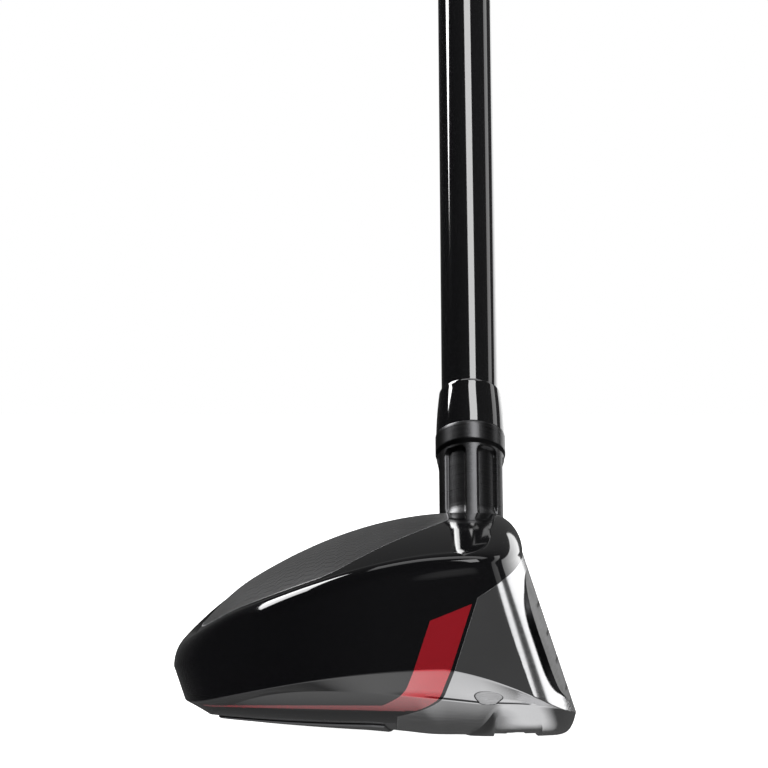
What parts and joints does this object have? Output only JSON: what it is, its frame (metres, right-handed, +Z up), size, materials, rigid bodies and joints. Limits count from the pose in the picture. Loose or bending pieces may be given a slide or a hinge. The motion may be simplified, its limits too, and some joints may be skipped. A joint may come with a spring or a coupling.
{
  "type": "hybrid golf club",
  "caption": "Right-handed hybrid golf club at address: hollow steel head, carbon crown panel, fluted bonded hosel, graphite shaft and rubber grip.",
  "frame": {"origin": "centre of the sole's rest patch, on the ground in the plane of the shaft", "axes": "+Z up with the club soled at address, +X the target direction the face looks in, +Y from toe to heel; the shaft leans over the heel in the plane X = 0"},
  "size_m": [0.0641, 0.6045, 0.8876],
  "materials": {
    "body_steel": "gloss black paint over cast steel, with a candy red band, a satin steel front and a brushed dark fluted hosel",
    "face_steel": "fine matte black with score lines",
    "crown_carbon": "gloss clear coat over a fine carbon weave",
    "adhesive": "cured structural epoxy, smooth",
    "slot_tpu": "matte flexible plastic",
    "port_steel": "satin, ground flush",
    "hot_melt": "tacky amber glue",
    "ferrule_plastic": "turned and polished gloss",
    "tip_brass": "machined",
    "shaft_paint": "gloss black paint over wound graphite",
    "label_film": "printed film, plain bands",
    "tape": "masking tape crepe",
    "grip_rubber": "matte moulded pattern",
    "cap_rubber": "matte hard rubber"
  },
  "bodies": {
    "root": {"head_body": "body_steel", "face_plate": "face_steel", "crown_panel": "crown_carbon", "crown_adhesive": "adhesive", "slot_insert": "slot_tpu", "port_plug": "port_steel", "hot_melt_weight": "hot_melt", "ferrule": "ferrule_plastic", "hosel_epoxy": "adhesive", "tip_weight": "tip_brass", "shaft": "shaft_paint", "shaft_label": "label_film", "grip_tape": "tape", "grip": "grip_rubber", "grip_cap": "cap_rubber"}
  },
  "joints": []
}
